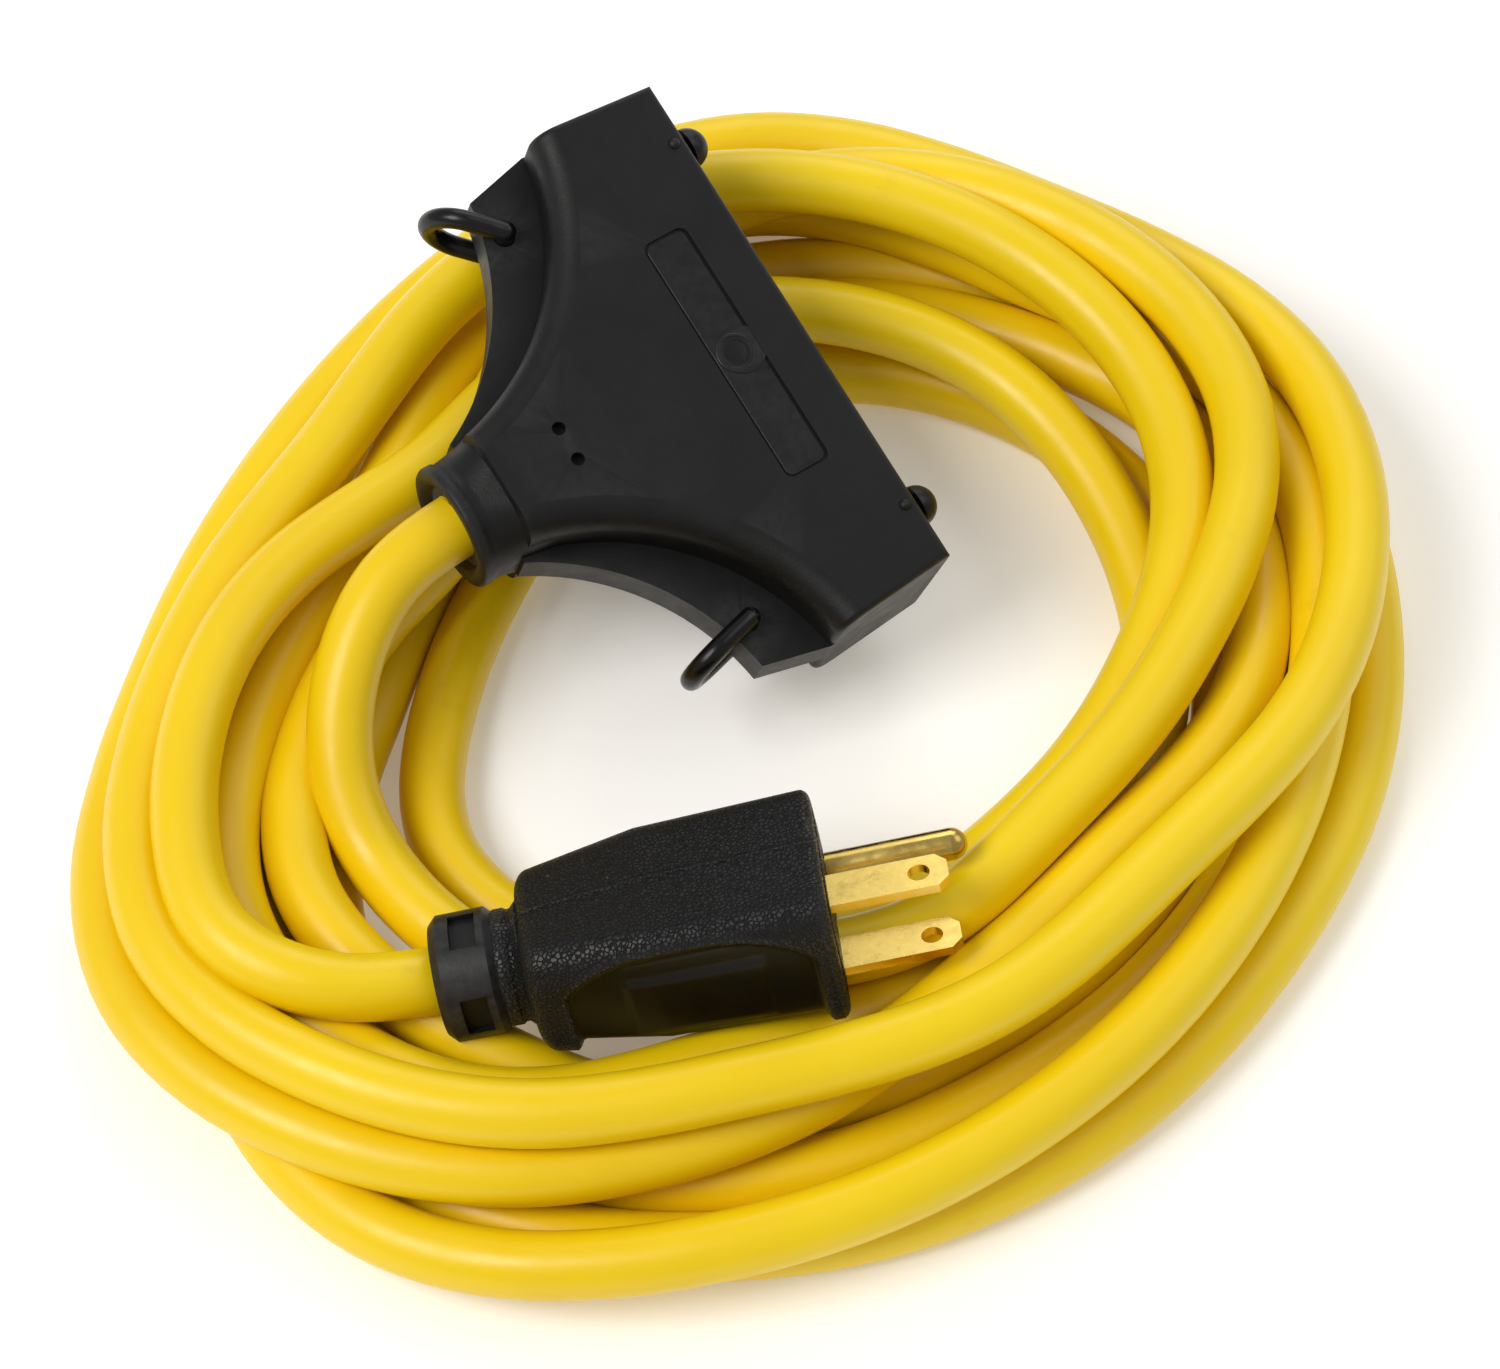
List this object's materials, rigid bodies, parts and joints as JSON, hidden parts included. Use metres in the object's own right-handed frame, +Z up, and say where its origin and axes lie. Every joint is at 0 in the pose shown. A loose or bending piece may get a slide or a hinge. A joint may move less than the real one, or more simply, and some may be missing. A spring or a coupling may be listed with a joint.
{
  "type": "extension cord",
  "caption": "Heavy-duty yellow extension cord lying in a round coil, with a black fan-shaped multi-outlet block on it and a moulded three-prong plug inside it.",
  "frame": {"origin": "the point on the floor under the middle of the coil, where the coil rests", "axes": "+Z up from the floor; the block's outlets face between +X and +Y, 34 degrees from +X; the plug's prongs point 8.5 degrees from +X"},
  "size_m": [0.1989, 0.203, 0.06],
  "materials": {
    "cord_yellow": "satin vinyl jacket",
    "block_black": "fine-grained matte",
    "plug_black": "leather-grained matte",
    "insulator": "moulded thermoset",
    "contact_brass": "stamped strip",
    "blade_brass": "stamped and tumbled",
    "screw_steel": "zinc plated",
    "peg_black": "smooth moulded",
    "loop_black": "smooth moulded",
    "grommet_rubber": "matte",
    "wire_black": "insulation",
    "wire_white": "insulation",
    "wire_green": "insulation"
  },
  "bodies": {
    "block": {"housing_top": "block_black", "housing_bottom": "block_black", "outlet_face": "block_black", "contact_carrier": "insulator", "hot_bus": "contact_brass", "neutral_bus": "contact_brass", "ground_bus": "contact_brass", "housing_screws": "screw_steel", "cover_pegs": "peg_black", "neck_grommet": "grommet_rubber", "jacket_end": "cord_yellow", "cord_clamp": "screw_steel", "clamp_screws": "screw_steel", "hot_wire": "wire_black", "neutral_wire": "wire_white", "ground_wire": "wire_green", "coil": "cord_yellow", "block_lead": "cord_yellow", "plug_lead": "cord_yellow", "plug_body": "plug_black", "plug_bridge": "insulator", "hot_blade": "blade_brass", "neutral_blade": "blade_brass", "ground_pin": "blade_brass", "plug_collar": "plug_black", "plug_jacket_end": "cord_yellow", "plug_hot_wire": "wire_black", "plug_neutral_wire": "wire_white", "plug_ground_wire": "wire_green"},
    "hang_loop_left": {"hang_loop_left": "loop_black"},
    "hang_loop_right": {"hang_loop_right": "loop_black"}
  },
  "joints": [
    {"name": "left_loop_swing", "type": "hinge", "parent": "block", "child": "hang_loop_left", "pos_m": [-0.03702, 0.05769, 0.04504], "axis": [0.1821, -0.2699, 0.9455], "range_deg": [-15, 70]},
    {"name": "right_loop_swing", "type": "hinge", "parent": "block", "child": "hang_loop_right", "pos_m": [-0.00022, 0.00313, 0.02238], "axis": [0.1821, -0.2699, 0.9455], "range_deg": [-39, 46]}
  ]
}
